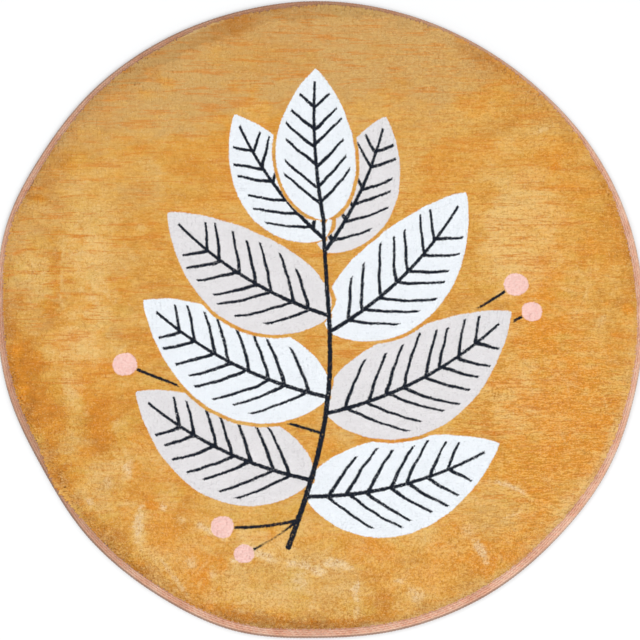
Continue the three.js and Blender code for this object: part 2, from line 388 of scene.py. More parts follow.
def marks(x, y):
    """Pale partings, painted as the sheen of brushed fibres, and deep pressed patches, broken up by noise; and which
    side of a parting a point is on.
    """
    x, y = plan(x, y)
    pale, deep = np.zeros(np.shape(x)), np.zeros(np.shape(x))
    side_x, side_y = np.zeros(np.shape(x)), np.zeros(np.shape(x))
    ragged = 0.62 * cloud(4, x / 9.5, y / 6.5, 3)
    for kind, mx, my, length, width, turn, bow, strength in MARKS:
        near = np.flatnonzero((np.abs(x - mx) < length + width) & (np.abs(y - my) < length + width))
        if not len(near):
            continue
        a = math.radians(turn)
        dx, dy = x[near] - mx, y[near] - my
        u = dx * math.cos(a) + dy * math.sin(a)
        v = -dx * math.sin(a) + dy * math.cos(a) - bow * (1 - (2 * u / length) ** 2)
        far = np.hypot(u / (0.56 * length), v / (0.80 * width)) + ragged[near]
        amount = np.minimum(1.25 * strength, 1) * (smooth(1.40, 0.25, far) if kind > 0 else smooth(1.25, 0.45, far))
        if kind > 0:
            pale[near] = np.maximum(pale[near], amount)
            side_x[near] += amount * np.sign(v) * -math.sin(a)
            side_y[near] += amount * np.sign(v) * math.cos(a)
        else:
            deep[near] = np.maximum(deep[near], amount)
    return pale, deep, side_x, side_y


# Fine streaks across the rug, where the pile parts between its rows: drawn once on a fine map.
STREAK_CELL = 0.5
STREAK_SIDE = int(2 * (RADIUS + 12) / STREAK_CELL)


def streak_map():
    rng = np.random.default_rng(11)
    grid = np.zeros((STREAK_SIDE, STREAK_SIDE), np.float32)
    half = RADIUS + 12
    count = 4400
    sx, sy = rng.uniform(-RADIUS, RADIUS, count), rng.uniform(-RADIUS, RADIUS, count)
    busy = smooth(-0.45, 0.5, cloud(10, sx / 90, sy / 50, 2)) * (0.35 + 0.65 * smooth(-300, -150, sy))
    keep = rng.uniform(0, 1, count) < busy
    for x0, y0 in zip(sx[keep], sy[keep]):
        size = 10 * math.exp(rng.normal(0.9, 0.6))
        wide, strong, slope = rng.uniform(0.75, 1.25), rng.uniform(0.3, 1.0), rng.normal(0, 0.025)
        cols = np.arange(max(0, int((x0 - size / 2 + half) / STREAK_CELL)),
                         min(STREAK_SIDE, int((x0 + size / 2 + half) / STREAK_CELL)))
        if len(cols) < 4:
            continue
        x = cols * STREAK_CELL - half
        y = y0 + slope * (x - x0) + 0.9 * NOISES[2](x / 13, np.full(len(x), y0))
        taper = np.sin(np.linspace(0, math.pi, len(cols))) ** 0.5
        taper = taper * smooth(-0.55, 0.25, NOISES[4](x / 6, np.full(len(x), y0 * 3.1)))
        for k in range(-4, 5):
            line = np.round((y + half) / STREAK_CELL).astype(int) + k
            ok = (line >= 0) & (line < STREAK_SIDE)
            off = (line * STREAK_CELL - half - y) / wide
            amount = strong * taper * np.exp(-off * off)
            grid[line[ok], cols[ok]] = np.maximum(grid[line[ok], cols[ok]], amount[ok])
    return grid


STREAKS = streak_map()


def streaks(x, y):
    u, v = (x + RADIUS + 12) / STREAK_CELL, (y + RADIUS + 12) / STREAK_CELL
    i, j = np.clip(u.astype(int), 0, STREAK_SIDE - 2), np.clip(v.astype(int), 0, STREAK_SIDE - 2)
    f, g = u - i, v - j
    low = STREAKS[j, i] * (1 - f) + STREAKS[j, i + 1] * f
    high = STREAKS[j + 1, i] * (1 - f) + STREAKS[j + 1, i + 1] * f
    return low * (1 - g) + high * g


# how crushed and patchy the pile is, every 30 degrees round the rug; the rest is combed smooth
CRUSHED = [0.75, 0.25, 0.15, 0.15, 0.20, 0.40, 0.90, 1.0, 1.0, 1.0, 1.0, 0.95]
# along the pile's edge, every 30 degrees: how much paler (+) or darker (-), as painted light on the side turned to the
# light and painted shade on the side turned from it; how much more orange or greyer; and how much frayed pale, painted
# sheen
EDGE_LIGHT_AND_SHADE = [-0.5, -0.4, -0.3, -1.2, -2.4, -0.7, -0.8, -0.2, -1.1, -1.9, 0.6, 1.4]
EDGE_HOT = [0.2, 0.0, -0.1, -0.1, 0.1, -0.4, -0.3, -0.1, -0.5, -0.6, -0.3, 0.0]
EDGE_PALE = [0.0, 0.0, 0.0, 0.0, 0.0, 0.0, 0.0, 0.0, 0.0, 0.0, 0.30, 0.40]


# how much further than usual the pile reaches over the binding: degrees round the rug, mm
OVERHANG = [(0, 2.0), (10, 0.8), (15, 0.0), (22, 2.4), (28, 0.8), (36, 3.4), (45, 4.2), (55, 4.4), (65, 4.8), (75, 3.4),
            (90, 3.4), (96, 1.2), (105, 1.9), (111, 2.2), (120, 0.0), (130, 1.2), (140, 0.6), (150, -0.7), (158, -1.1),
            (162, 2.0), (170, 2.0), (180, 0.8), (186, 0.0), (206, 0.0), (209, 3.0), (212.5, 6.8), (215.5, 6.8),
            (219, 3.0), (222, 0.6), (240, 1.0), (260, 1.2), (270, 0.6), (285, 0.6), (300, -0.4), (315, 0.4), (322, 0.8),
            (330, 2.0), (340, 3.4), (346, 4.2), (352, 3.4), (360, 2.0)]


def lie(x, y):
    """How the pile stands at a point: its lean, height, and tones."""
    inset, out = inset_of(x, y)
    pale, deep, part_x, part_y = marks(x, y)
    light, hot = patches(x, y)
    light = light * (1.2 + 1.0 * smooth(-220, -290, x) * smooth(120, 60, y) * smooth(-170, -100, y))
    far_side, lower_right = smooth(60, 220, y), smooth(210, 80, np.hypot(x - 290, y + 180))
    broad = facets(9, x, y, 62, 27)
    light = light + far_side * (0.26 * cloud(4, x / 75, y / 36, 2) + 0.34 * broad[0])
    hot = hot + 0.48 * far_side * broad[1]
    row = streaks(x, y)
    # crushed patches with fairly sharp edges, then a finer mottle
    bx, by = x + 14 * cloud(16, x / 40, y / 40, 2), y + 9 * cloud(17, x / 36, y / 30, 2)
    crush = cloud(1, bx / 42, by / 26, 3)
    even = smooth(-190, -310, y + 30 * cloud(7, x / 70, y / 70, 2))
    cell, small = facets(2, x, y, 46, 34), facets(6, x, y, 17, 12)
    busy = np.interp(out % TAU, np.arange(13) * TAU / 12, CRUSHED + CRUSHED[:1])
    busy = 0.5 + (busy - 0.5) * smooth(60, 190, np.hypot(x, y))
    light = light + busy * (0.30 * cell[0] + 0.20 * small[0])
    hot = hot + busy * (0.26 * cell[1] + 0.22 * small[1])
    green = busy * (0.55 * cell[2] + 0.35 * small[2]) + 0.4 * cloud(0, x / 50, y / 34, 2)
    light = light + (0.16 + 0.40 * busy) * np.tanh(2.6 * crush) + (0.16 + 0.26 * busy + 0.10 * even) * cloud(2, x / 11, y / 6.5, 3)
    light = light + (0.44 - 0.30 * even) * cloud(18, x / 17, y / 2.5, 2) + 0.22 * even * cloud(19, x / 4.5, y / 4.0, 2) + 0.04 + 0.10 * even
    hot = hot + (0.16 + 0.32 * busy) * cloud(3, bx / 55, by / 32, 3) + (0.50 - 0.28 * even + 0.60 * lower_right) * cloud(9, x / 24, y / 3.4, 2) + 0.04
    right = smooth(190, 250, x) * smooth(220, 140, y)
    light = light + 0.24 * right * cloud(1, x / 34, y / 12, 2)
    hot = hot + 0.46 * right * cloud(5, x / 45, y / 9, 2)
    green = green + 0.80 * right * cloud(12, x / 40, y / 8, 2)
    light = light + 0.40 * lower_right * cloud(6, x / 19, y / 7, 2)
    hot = hot + 0.70 * lower_right * cloud(14, x / 26, y / 8, 2)
    light, hot = light - 0.70 * deep, hot + 1.15 * deep
    # how crisp the combed pile looks: softest at the far left, crispest at the near right
    left, lower_left = smooth(-210, -290, x) * smooth(150, 80, np.abs(y)), smooth(-130, -210, x) * smooth(-90, -160, y)
    crisp = 0.74 + 0.34 * smooth(-60, 240, x) + 0.96 * lower_right + 0.32 * even - 0.29 * far_side + 0.08 * left + 0.40 * lower_left
    crisp = crisp - 0.08 * far_side * smooth(-60, -200, x)
    crisp = crisp * (1 + 0.45 * cloud(8, x / 60, y / 36, 2))
    # nap to +y, wandering, brushed aside near the edge and at partings
    wander = 0.50 * np.tanh(1.6 * crush) + 0.40 * cloud(13, x / 9, y / 9, 2) + 0.40 * small[0] + 0.25 * cell[0]
    wander = wander * (0.35 + 0.65 * busy)
    reach = 0.84 + 0.07 * cloud(14, x / 26, y / 20, 2)
    lx, ly = reach * np.sin(wander), reach * np.cos(wander)
    splay = smooth(34, 8, inset)
    away = 0.5 * splay * (0.35 + 0.65 * smooth(-0.6, 0.3, np.sin(out)))
    lx, ly = lx + away * np.cos(out), ly * (1 - 0.8 * away) + away * np.sin(out)
    near = smooth(0.0, -0.6, np.sin(out - 0.62))
    curl = 0.95 * smooth(21.0, 12.5, inset)
    over = np.interp(np.degrees(out) % 360, [a for a, _ in OVERHANG], [o for _, o in OVERHANG])
    over = (over + 0.45 * cloud(10, x / 7, y / 7, 2)) * smooth(18.0, 12.5, inset)
    fan = (0.80 - 0.15 * near + 0.12 * smooth(0.5, 3.0, over)) * curl
    lx, ly = lx * (1 - curl) + fan * np.cos(out), ly * (1 - curl) + fan * np.sin(out)
    swing = np.where(np.cos(out) + 0.4 * cloud(8, x / 15, y / 15, 2) > 0, 1.0, -1.0)
    short = np.maximum(0.76 - np.hypot(lx, ly), 0)
    lx, ly = lx - short * swing * np.sin(out), ly + short * swing * np.cos(out)
    # painted light and shade along the edge of the pile, with its shift to more orange or greyer
    rim = smooth(30.0, 14.0, inset + 9 * cloud(6, x / 14, y / 14, 3))
    light = light + rim * np.interp(out % TAU, np.arange(13) * TAU / 12, EDGE_LIGHT_AND_SHADE + EDGE_LIGHT_AND_SHADE[:1])
    hot = hot + rim * np.interp(out % TAU, np.arange(13) * TAU / 12, EDGE_HOT + EDGE_HOT[:1])
    # frayed pale tips along the lit near-right edge, painted sheen
    fringe = np.interp(out % TAU, np.arange(13) * TAU / 12, EDGE_PALE + EDGE_PALE[:1])
    pale = np.maximum(pale, fringe * smooth(19.0, 14.0, inset + 3 * cloud(6, x / 8, y / 8, 2)))
    lx, ly = lx * (1 - 0.2 * pale) + 0.09 * part_x, ly * (1 - 0.2 * pale) + 0.09 * part_y
    size = np.hypot(lx, ly)
    trim = np.minimum(1, 0.91 / np.maximum(size, 1e-6))
    lx, ly = lx * trim, ly * trim
    height = 1 + 0.07 * cloud(15, x / 32, y / 28, 3) - 0.08 * row - 0.06 * deep - (0.08 + 0.36 * near) * smooth(17, 11, inset)
    # share of locks with pale cream tips: more in brushed places and towards the near edge
    fuzz = 0.08 + 0.08 * lower_left + 0.14 * lower_right + 0.25 * smooth(0.1, 1.0, light) + 0.5 * pale + 0.22 * smooth(-180, -330, y) + 0.15 * smooth(24, 12, inset)
    # where the fibres lie every way instead of combed
    even = np.maximum(even, 0.45 * smooth(-200, -290, x) * smooth(140, 60, y))
    even = np.maximum(even, 0.65 * smooth(-130, -220, x) * smooth(-90, -160, y))
    return {"lx": lx, "ly": ly, "height": height, "over": over, "green": green, "row": row, "pale": pale, "light": light, "hot": hot,
            "even": even, "crisp": crisp, "lines": 1.15 - 0.45 * busy - 0.35 * even + 0.35 * lower_right + 0.35 * left - 0.30 * far_side, "fuzz": fuzz, "inset": inset, "out": out}


# ---------------------------------------------------------------- meshes from arrays
def make_mesh(name, verts, quads=(), tris=(), smooth_faces=True):
    me = bpy.data.meshes.new(name)
    verts = np.asarray(verts, np.float32).reshape(-1, 3)
    quads = np.asarray(quads, np.int32).reshape(-1, 4)
    tris = np.asarray(tris, np.int32).reshape(-1, 3)
    loops = np.concatenate([quads.ravel(), tris.ravel()])
    starts = np.concatenate([np.arange(len(quads)) * 4, len(quads) * 4 + np.arange(len(tris)) * 3])
    me.vertices.add(len(verts))
    me.vertices.foreach_set("co", (verts * MM).ravel())
    me.loops.add(len(loops))
    me.loops.foreach_set("vertex_index", loops.astype(np.int32))
    me.polygons.add(len(starts))
    me.polygons.foreach_set("loop_start", starts.astype(np.int32))
    me.polygons.foreach_set("use_smooth", np.full(len(starts), smooth_faces))
    me.update(calc_edges=True)
    me.validate()
    ob = bpy.data.objects.new(name, me)
    bpy.context.scene.collection.objects.link(ob)
    return ob


def add_value(ob, name, values):
    ob.data.attributes.new(name, "FLOAT", "POINT").data.foreach_set("value", np.asarray(values, np.float32).ravel())


def add_vector(ob, name, values):
    ob.data.attributes.new(name, "FLOAT_VECTOR", "POINT").data.foreach_set("vector", np.asarray(values, np.float32).ravel())


def add_tones(ob, x, y, at, field, tip, rnd, hair):
    """What the printed pile's colours are worked out from, at each vertex."""
    white, grey, coral, dark = print_distances(x, y)
    for name, values in (("d_white", white), ("d_grey", grey), ("d_coral", coral), ("d_dark", dark),
                         ("row", field["row"]), ("pale", field["pale"]), ("light", field["light"]),
                         ("hot", field["hot"]), ("green", field["green"]), ("even", field["even"]), ("crisp", field["crisp"]), ("lines", field["lines"]),
                         ("tip", tip), ("rnd", rnd), ("hair", hair)):
        add_value(ob, name, values)
    # the combed direction wanders a little
    ax, ay = at
    add_vector(ob, "flow", np.stack([ax + 5 * cloud(11, ax / 40, ay / 40, 2), ay + 4.5 * cloud(12, ax / 66, ay / 50, 2) + 1.6 * cloud(7, ax / 12, ay / 15, 2),
                                     np.zeros(len(ax))], -1) * MM)
    add_vector(ob, "spot", np.stack([x, y, rnd * 40.0], -1) * MM)


# ---------------------------------------------------------------- ground cloth
def make_sheet():
    turns = 360
    angle = np.arange(turns) * TAU / turns
    radius = edge_radius(angle)
    low, high = 1.3, MARGIN_TOP
    rim = [(LIP_UNDER + 0.3, 0.0), (LIP_UNDER + 0.3, low), (1.6, low), (1.3, 0.5 * (low + high)), (1.6, high),
           (LIP_TOP + 0.4, high), (LIP_TOP + 1.2, high + 1.6), (LIP_TOP + 4.0, SHEET_TOP + 0.7)]
    rings = [(radius - inset, np.full(turns, z)) for inset, z in rim]
    for share in np.linspace(1, 0, 76, endpoint=False):
        rings.append(((radius - LIP_TOP - 8.0) * share, np.full(turns, DENSE_TOP)))
    verts = []
    for r, z in rings:
        x, y = r * np.cos(angle) - MID_X, r * np.sin(angle) - MID_Y
        verts.append(np.stack([x, y, z], -1))
    verts = np.concatenate(verts)
    top = verts[:, 2] >= DENSE_TOP - 1e-6
    verts[top, 2] += 0.22 * cloud(15, verts[top, 0] / 32, verts[top, 1] / 28, 3)
    count = len(rings)
    i = np.arange(turns)
    j = (i + 1) % turns
    quads = np.concatenate([np.stack([k * turns + i, k * turns + j, (k + 1) * turns + j, (k + 1) * turns + i], -1)
                            for k in range(count - 1)])
    under, crown = len(verts), len(verts) + 1
    verts = np.concatenate([verts, [[-MID_X, -MID_Y, 0.0], [-MID_X, -MID_Y, DENSE_TOP]]])
    tris = np.concatenate([np.stack([np.full(turns, under), j, i], -1),
                           np.stack([np.full(turns, crown), (count - 1) * turns + i, (count - 1) * turns + j], -1)])
    ob = make_mesh("pile_ground", verts, quads, tris)
    x, y = verts[:, 0], verts[:, 1]
    add_tones(ob, x, y, (x, y), lie(x, y), np.full(len(x), 0.0), np.full(len(x), 0.5), np.zeros(len(x)))
    add_value(ob, "under", verts[:, 2] < low + 0.01)
    return ob


# ---------------------------------------------------------------- pile
def make_pile():
    rng = np.random.default_rng(7)
    half = RADIUS + 10
    rows = np.arange(-half, half, PILE_PITCH)
    gx, gy = np.meshgrid(rows, rows)
    gx[1::2] += PILE_PITCH / 2
    x = (gx + rng.uniform(-0.5, 0.5, gx.shape) * PILE_PITCH).ravel()
    y = (gy + rng.uniform(-0.5, 0.5, gy.shape) * PILE_PITCH).ravel()
    inset, _ = inset_of(x, y)
    keep = inset > PILE_START + rng.uniform(-0.5, 0.5, len(x))
    x, y = x[keep], y[keep]
    first = len(x)
    # more locks where the pile parts along its near edge
    ax, ay = rng.uniform(-half, half, (2, 260000))
    inset, out = inset_of(ax, ay)
    corner = np.cos(out - math.radians(222)) > 0.86
    more = (inset > 13.5) & (inset < np.where(corner, 23.0 + rng.uniform(0, 34, len(ax)), 23.0)) & (np.sin(out) < 0.35)
    x, y = np.concatenate([x, ax[more]]), np.concatenate([y, ay[more]])
    n = len(x)
    f = lie(x, y)
    any_way = rng.uniform(0, TAU, n - first)
    f["lx"][first:], f["ly"][first:] = 0.82 * np.cos(any_way), 0.82 * np.sin(any_way)
    calm = smooth(40, 170, y) * smooth(40, -140, x)
    rnd = 0.5 + rng.uniform(-0.5, 0.5, n) * (1 - 0.5 * calm)
    plain = PILE_LENGTH * f["height"] * rng.uniform(0.90, 1.07, n)
    length = plain + f["over"] / 0.9
    lx = f["lx"] + rng.normal(0, 0.06, n)
    ly = f["ly"] + rng.normal(0, 0.06, n)
    # small locks: neighbours lean in together
    wide_cell, cell = 5.2, 3.4
    ci, cj = np.floor(x / wide_cell), np.floor(y / cell)
    hash1 = np.sin(ci * 12.9898 + cj * 78.233) * 43758.5453
    hash2 = np.sin(ci * 39.346 + cj * 11.135) * 24634.6345
    cx, cy = (ci + 0.5 + 0.35 * (2 * (hash1 % 1) - 1)) * wide_cell, (cj + 0.5 + 0.35 * (2 * (hash2 % 1) - 1)) * cell
    lx, ly = lx + 0.16 * (cx - x) / length, ly + 0.16 * (cy - y) / length
    size = np.hypot(lx, ly)
    trim = np.minimum(1, 0.93 / np.maximum(size, 1e-6))
    lx, ly, size = lx * trim, ly * trim, size * trim
    up = np.sqrt(1 - np.minimum(size, 0.95) ** 2)
    foot = SHEET_TOP - 0.3 - 1.6 * smooth(20, 11, f["inset"]) + 0.22 * cloud(15, x / 32, y / 28, 3)
    way = np.arctan2(ly, lx) + rng.normal(0, 0.40, n)
    rx, ry = np.sin(way), -np.cos(way)
    wide = 0.5 * PILE_WIDTH * rng.uniform(0.75, 1.2, n) * (1 + 0.22 * np.clip(f["over"] - 3.5, 0, 4))
    slant = rng.normal(0, 0.12, n) * wide
    v = np.empty((n, 4, 3))
    v[:, 0] = np.stack([x, y, foot], -1)
    px, py, pz = x + 0.60 * length * lx, y + 0.60 * length * ly, foot + 0.94 * plain * (0.55 * up + 0.25)
    v[:, 1] = np.stack([px - rx * wide, py - ry * wide, pz + slant], -1)
    v[:, 2] = np.stack([px + rx * wide, py + ry * wide, pz - slant], -1)
    v[:, 3] = np.stack([x + length * lx, y + length * ly, pz - 0.03 * plain + rng.normal(0, 0.10, n)], -1)
    tip = np.broadcast_to(np.array([0.0, 0.72, 0.72, 1.0]), (n, 4))
    shown = lie(x + 0.72 * length * lx, y + 0.72 * length * ly)
    for key in ("pale", "light", "hot", "green", "even", "crisp", "lines", "fuzz"):
        f[key] = shown[key]
    hair = np.where(rng.uniform(0, 1, n) < f["fuzz"], rng.uniform(0.1, 0.4, n), 0.0)

    # loose fibres lying over the pile, most where it is brushed
    pick = np.flatnonzero(rng.uniform(0, 1, n) < (0.22 + 0.12 * f["even"]) * f["fuzz"] * (f["inset"] > PILE_START + 0.6))
    m = len(pick)
    level = np.where(np.cos(f["out"][pick]) > 0, 0.0, math.pi) + rng.normal(0, 0.45, m)
    turn = np.where(rng.uniform(0, 1, m) < 0.55, level, np.arctan2(ly[pick], lx[pick]) + rng.normal(0, 0.7, m))
    far = rng.uniform(3.0, 6.4, m)
    fx, fy = np.cos(turn) * far, np.sin(turn) * far
    tx, ty = x[pick] + 0.72 * length[pick] * lx[pick] - 0.4 * fx, y[pick] + 0.72 * length[pick] * ly[pick] - 0.4 * fy
    thin = rng.uniform(0.25, 0.45, m)
    high = pz[pick] + rng.uniform(-0.1, 0.5, m)
    bend = rng.normal(0, 0.12, m)
    w = np.empty((m, 4, 3))
    w[:, 0] = np.stack([tx, ty, high - 0.9], -1)
    for k, sign in ((1, -1), (2, 1)):
        w[:, k] = np.stack([tx + 0.55 * fx + (sign * thin / far + bend) * np.sin(turn) * far,
                            ty + 0.55 * fy - (sign * thin / far + bend) * np.cos(turn) * far, high], -1)
    w[:, 3] = np.stack([tx + fx, ty + fy, high - 0.1], -1)
    inside = inset_of(tx + fx, ty + fy)[0] > 6.0
    pick, w = pick[inside], w[inside]
    m = len(pick)

    grow = lambda a: np.concatenate([a, a[pick]])
    v = np.concatenate([v, w])
    px, py = (0.35 * (v[:, 1, k] + v[:, 2, k]) + 0.30 * v[:, 3, k] for k in (0, 1))
    f = {key: grow(f[key]) for key in ("pale", "light", "hot", "green", "even", "crisp", "lines")}
    rnd, y = grow(rnd), grow(y)
    hair = np.concatenate([hair, rng.uniform(0.2, 0.7, m)])
    tip = np.concatenate([tip, np.broadcast_to(np.array([0.7, 0.9, 0.9, 1.0]), (m, 4))])

    made = []
    order = np.argsort(y, kind="stable")
    for band, part in enumerate(np.array_split(order, STRIPS)):
        m = len(part)
        base = np.arange(m)[:, None] * 4
        tris = np.concatenate([base + np.array([0, 2, 1]), base + np.array([1, 2, 3])], 1)
        ob = make_mesh(f"pile_band_{band + 1}", v[part], (), tris.reshape(-1, 3))
        # colours are read halfway between each vertex and where its lock shows
        tx = 0.5 * v[part][:, :, 0] + 0.5 * px[part][:, None]
        ty = 0.5 * v[part][:, :, 1] + 0.5 * py[part][:, None]
        every = lambda a: np.repeat(a[part], 4)
        field = {key: every(f[key]) for key in ("pale", "light", "hot", "green", "even", "crisp", "lines")}
        at = v[part][:, :, 0].ravel(), v[part][:, :, 1].ravel()
        field["row"] = streaks(*at)
        add_tones(ob, tx.ravel(), ty.ravel(), at, field, tip[part].ravel(), every(rnd), every(hair))
        # each lock has its own cell on the map, foot to tip
        side = int(math.ceil(math.sqrt(m)))
        col, line = np.arange(m) % side, np.arange(m) // side
        uv = np.array([[0.5, 0.12], [0.15, 0.6], [0.85, 0.6], [0.5, 0.88]])
        at = (np.stack([col, line], -1)[:, None, :] + uv[None]) / side
        layer = ob.data.uv_layers.new(name="OFBake")
        index = np.empty(len(ob.data.loops), np.int32)
        ob.data.loops.foreach_get("vertex_index", index)
        layer.uv.foreach_set("vector", at.reshape(-1, 2)[index].astype(np.float32).ravel())
        made.append(ob)
    return made


# ---------------------------------------------------------------- binding
# the strip's outer face in section: q runs from the inner edge of the top lip, out over the rim, and under
RIM_R = 2.05
RIM_IN = 2.2
FLAT_Q = LIP_TOP - RIM_IN
RIM_Q = math.pi * RIM_R
FACE_Z = 4.35


def strip_face(q):
    """Inset, height and outward direction of the strip's outer face at q."""
    q = np.asarray(q, float)
    turn = np.clip((q - FLAT_Q) / RIM_R, 0, math.pi)
    top, under = q < FLAT_Q, q > FLAT_Q + RIM_Q
    inset = np.where(top, LIP_TOP - q, RIM_IN - RIM_R * np.sin(turn))
    inset = np.where(under, RIM_IN + (q - FLAT_Q - RIM_Q), inset)
    z = FACE_Z - RIM_R + RIM_R * np.cos(turn)
    return inset, z, np.sin(turn), np.cos(turn)


def on_strip(angle, q, h):
    inset, z, n_out, n_up = strip_face(q)
    r = edge_radius(angle) - inset + h * n_out
    return np.stack([r * np.cos(angle) - MID_X, r * np.sin(angle) - MID_Y, z + h * n_up], -1)


# painted shade: how much browner the strip is on the sides turned from the light, every 30 degrees
SIDE_SHADE = [0.0, 0.12, 0.58, 1.0, 0.74, 0.36, 0.34, 0.80, 0.20, 0.10, 0.0, 0.0]


def strip_shade(ob, angle, q):
    """Painted shade on the strip: browner round the sides turned from the light, and darker at its inner edge and under
    its rim, where shade falls.
    """
    add_value(ob, "side_shade", np.interp(np.asarray(angle) % TAU, np.arange(13) * TAU / 12, SIDE_SHADE + SIDE_SHADE[:1]))
    low = smooth(-0.35, -0.75, np.sin(np.asarray(angle) + 0.25))
    low = np.maximum(low, 0.6 * smooth(0.75, 0.95, np.cos(np.asarray(angle) - 2.25)))
    # painted shade on the lower half of the rim, over more of it on the near side and at the upper left
    edge = smooth(FLAT_Q + 0.7 - 1.5 * low, FLAT_Q + 3.0 - 1.5 * low, q)
    # painted shade in the gap at the strip's inner edge, by the pile, wider along the left side
    seam = smooth(0.1, -0.3, np.cos(np.asarray(angle) + 0.35))
    add_value(ob, "edge", np.maximum(smooth(0.9 + 1.9 * seam, 0.1 + 1.4 * seam, q), edge))


WALE_Q = [1.2, 3.6, 6.0, 8.4, 10.8, 13.3]    # rows of looped stitches
SEAM_Q = [2.4, 4.8, 7.2]                     # rows of straight stitches between them
STITCHES = 640
SEAM_STITCHES = 310


def make_strip():
    turns = 640
    angle = np.arange(turns) * TAU / turns
    outer_q = np.concatenate([np.linspace(0.0, FLAT_Q, 15), FLAT_Q + RIM_R * np.linspace(0, math.pi, 9)[1:],
                              [FLAT_Q + RIM_Q + 3.5, FLAT_Q + RIM_Q + LIP_UNDER - RIM_IN]])
    section = []
    for q in outer_q:
        near = min(abs(q - w) for w in WALE_Q)
        dip = 0.28 * (1 - math.cos(math.pi * min(near / 1.2, 1))) * 0.5 if q < FLAT_Q + RIM_Q else 0.0
        section.append(on_strip(angle, np.full(turns, q), np.full(turns, -dip)))
    inner = [(LIP_UNDER, 0.95), (1.1, 1.0), (1.0, 2.2), (1.1, 3.42), (LIP_TOP - 0.2, 3.62)]
    for inset, z in inner:
        r = edge_radius(angle) - inset
        section.append(np.stack([r * np.cos(angle) - MID_X, r * np.sin(angle) - MID_Y, np.full(turns, z)], -1))
    rings = np.stack(section)            # section, turn, xyz
    m = len(rings)
    k, i = np.meshgrid(np.arange(m), np.arange(turns), indexing="ij")
    k2, j = (k + 1) % m, (i + 1) % turns
    quads = np.stack([k * turns + i, k2 * turns + i, k2 * turns + j, k * turns + j], -1).reshape(-1, 4)
    ob = make_mesh("binding_strip", rings.reshape(-1, 3), quads)
    add_value(ob, "rnd", np.full(m * turns, 0.5))
    strip_shade(ob, np.tile(angle, m), np.repeat(np.concatenate([outer_q, np.full(len(inner), 20.0)]), turns))
    return ob


def spindles(name, a0, q0, a1, q1, thick, high, lift):
    """Closed tapered stitches lying on the strip from (a0, q0) to (a1, q1)."""
    n = len(a0)
    rng = np.random.default_rng(len(name) + n)
    thick = thick * rng.uniform(0.88, 1.12, n)
    verts = np.empty((n, 10, 3))
    mid_r = RADIUS
    da, dq = (a1 - a0) * mid_r, q1 - q0
    size = np.hypot(da, dq)
    ua, uq = da / size, dq / size                 # along the stitch, on the strip
    for slot, share, scale in ((0, 0.0, 0.0), (1, 0.28, 1.0), (5, 0.70, 0.95), (9, 1.0, 0.0)):
        ca, cq = a0 + (a1 - a0) * share, q0 + dq * share
        arch = lift + 0.25 * math.sin(math.pi * share)
        if scale == 0:
            verts[:, slot] = on_strip(ca, cq, np.full(n, lift - 0.25))
            continue
        for c in range(4):
            across, up = ((1, 0), (0, 1), (-1, 0), (0, -1))[c]
            sa = ca + across * scale * thick * -uq / mid_r
            sq = cq + across * scale * thick * ua
            verts[:, slot + c] = on_strip(sa, sq, np.full(n, arch) + up * scale * high)
    base = np.arange(n)[:, None] * 10
    ring = np.arange(4)
    tris = [np.stack([np.zeros(4, int), 1 + ring, 1 + (ring + 1) % 4], -1),
            np.stack([np.full(4, 9), 5 + (ring + 1) % 4, 5 + ring], -1)]
    quads = np.stack([1 + ring, 5 + ring, 5 + (ring + 1) % 4, 1 + (ring + 1) % 4], -1)
    tris = np.concatenate(tris)
    ob = make_mesh(name, verts, (base[:, None] + quads[None]).reshape(-1, 4), (base[:, None] + tris[None]).reshape(-1, 3))
    add_value(ob, "rnd", np.repeat(rng.uniform(0, 1, n), 10))
    strip_shade(ob, np.repeat(0.5 * (a0 + a1), 10), np.repeat(0.5 * (q0 + q1), 10))
    return ob


def make_stitches():
    rng = np.random.default_rng(19)
    step = TAU / STITCHES
    a0, q0, a1, q1 = [], [], [], []
    for w, q in enumerate(WALE_Q):
        a = (np.arange(STITCHES) + 0.5 * (w % 2)) * step
        for side in (-1, 1):
            wob = rng.normal(0, 0.04, (2, STITCHES)) * step
            a0.append(a - 0.30 * step + wob[0])
            q0.append(np.full(STITCHES, q) + side * 0.32 + rng.normal(0, 0.07, STITCHES))
            a1.append(a + 1.08 * step + wob[1])
            q1.append(np.full(STITCHES, q) + side * 0.70 + rng.normal(0, 0.08, STITCHES))
    loops = spindles("binding_loops", *(np.concatenate(v) for v in (a0, q0, a1, q1)), 0.46, 0.36, 0.08)
    step = TAU / SEAM_STITCHES
    a0, q0, a1, q1 = [], [], [], []
    for w, q in enumerate(SEAM_Q):
        a = (np.arange(SEAM_STITCHES) + 0.3 * w) * step + rng.normal(0, 0.05, SEAM_STITCHES) * step
        sway = rng.normal(0, 0.10, (2, SEAM_STITCHES))
        a0.append(a)
        q0.append(q + sway[0])
        a1.append(a + rng.uniform(0.70, 0.98, SEAM_STITCHES) * step)
        q1.append(q + sway[1])
    seam = spindles("binding_seam", *(np.concatenate(v) for v in (a0, q0, a1, q1)), 0.42, 0.36, 0.30)
    return loops, seam


# ---------------------------------------------------------------- materials
def linear(r, g, b):
    def one(c):
        c /= 255.0
        return c / 12.92 if c <= 0.04045 else ((c + 0.055) / 1.055) ** 2.4
    return (one(r), one(g), one(b), 1.0)


